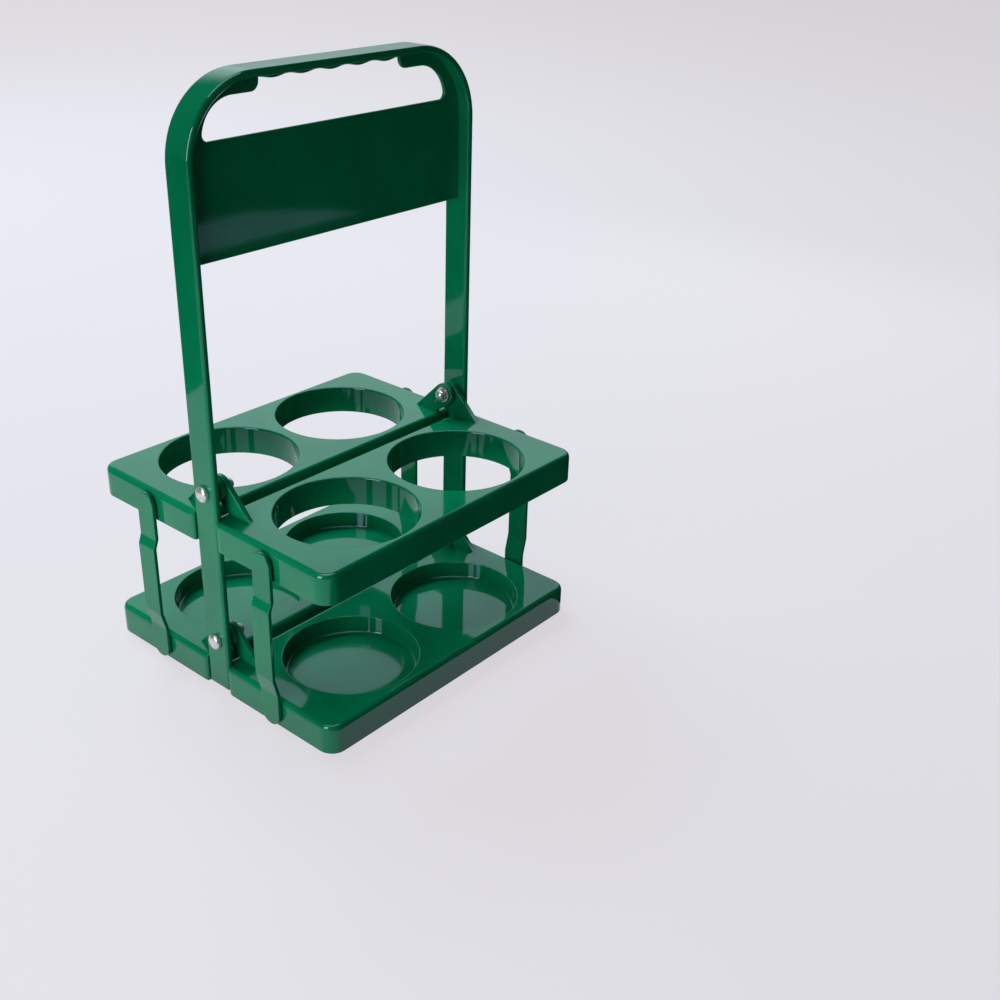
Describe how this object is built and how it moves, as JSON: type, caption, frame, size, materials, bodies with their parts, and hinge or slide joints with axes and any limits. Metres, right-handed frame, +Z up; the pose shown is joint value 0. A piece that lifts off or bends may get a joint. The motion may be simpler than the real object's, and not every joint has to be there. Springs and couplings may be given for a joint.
{
  "type": "drink carrier",
  "caption": "Folding bottle carrier: strap handle with banner panel and hand hole, hinged trays with bottle bores above cupped trays, kept parallel by struts.",
  "frame": {"origin": "on the floor, under the middle of the handle", "axes": "+Z up; +X along the handle's width; the two folding halves lie towards +Y (rear) and -Y (front)"},
  "size_m": [0.1884, 0.1654, 0.2956],
  "materials": {
    "green_plastic": "glossy moulded plastic",
    "rivet_steel": "bright plated steel"
  },
  "bodies": {
    "handle": {"handle": "green_plastic", "rivet_top_left": "rivet_steel", "washer_top_left": "rivet_steel", "rivet_top_right": "rivet_steel", "washer_top_right": "rivet_steel", "rivet_bottom_left": "rivet_steel", "washer_bottom_left": "rivet_steel", "rivet_bottom_right": "rivet_steel", "washer_bottom_right": "rivet_steel"},
    "top_tray_rear": {"top_tray_rear": "green_plastic"},
    "bottom_tray_rear": {"bottom_tray_rear": "green_plastic"},
    "strut_rear_left": {"strut_rear_left": "green_plastic"},
    "strut_rear_right": {"strut_rear_right": "green_plastic"},
    "top_tray_front": {"top_tray_front": "green_plastic"},
    "bottom_tray_front": {"bottom_tray_front": "green_plastic"},
    "strut_front_left": {"strut_front_left": "green_plastic"},
    "strut_front_right": {"strut_front_right": "green_plastic"}
  },
  "joints": [
    {"name": "rear_half_fold", "type": "hinge", "parent": "handle", "child": "top_tray_rear", "pos_m": [0, 0, 0.1093], "axis": [1, 0, 0], "range_deg": [0, 90]},
    {"name": "rear_bottom_fold", "type": "hinge", "parent": "handle", "child": "bottom_tray_rear", "pos_m": [0, 0, 0.0276], "axis": [1, 0, 0], "range_deg": [0, 90]},
    {"name": "strut_rear_left_swing", "type": "hinge", "parent": "top_tray_rear", "child": "strut_rear_left", "pos_m": [-0.0892, 0.0426, 0.0895], "axis": [1, 0, 0], "range_deg": [-90, 0]},
    {"name": "strut_rear_right_swing", "type": "hinge", "parent": "top_tray_rear", "child": "strut_rear_right", "pos_m": [0.0892, 0.0426, 0.0895], "axis": [1, 0, 0], "range_deg": [-90, 0]},
    {"name": "front_half_fold", "type": "hinge", "parent": "handle", "child": "top_tray_front", "pos_m": [0, 0, 0.1093], "axis": [-1, 0, 0], "range_deg": [0, 90]},
    {"name": "front_bottom_fold", "type": "hinge", "parent": "handle", "child": "bottom_tray_front", "pos_m": [0, 0, 0.0276], "axis": [-1, 0, 0], "range_deg": [0, 90]},
    {"name": "strut_front_left_swing", "type": "hinge", "parent": "top_tray_front", "child": "strut_front_left", "pos_m": [-0.0892, -0.0426, 0.0895], "axis": [-1, 0, 0], "range_deg": [-90, 0]},
    {"name": "strut_front_right_swing", "type": "hinge", "parent": "top_tray_front", "child": "strut_front_right", "pos_m": [0.0892, -0.0426, 0.0895], "axis": [-1, 0, 0], "range_deg": [-90, 0]}
  ],
  "couplings": [
    {"joint": "rear_bottom_fold", "follows": "rear_half_fold", "ratio": 1},
    {"joint": "strut_rear_left_swing", "follows": "rear_half_fold", "ratio": -1},
    {"joint": "strut_rear_right_swing", "follows": "rear_half_fold", "ratio": -1},
    {"joint": "front_bottom_fold", "follows": "front_half_fold", "ratio": 1},
    {"joint": "strut_front_left_swing", "follows": "front_half_fold", "ratio": -1},
    {"joint": "strut_front_right_swing", "follows": "front_half_fold", "ratio": -1}
  ]
}
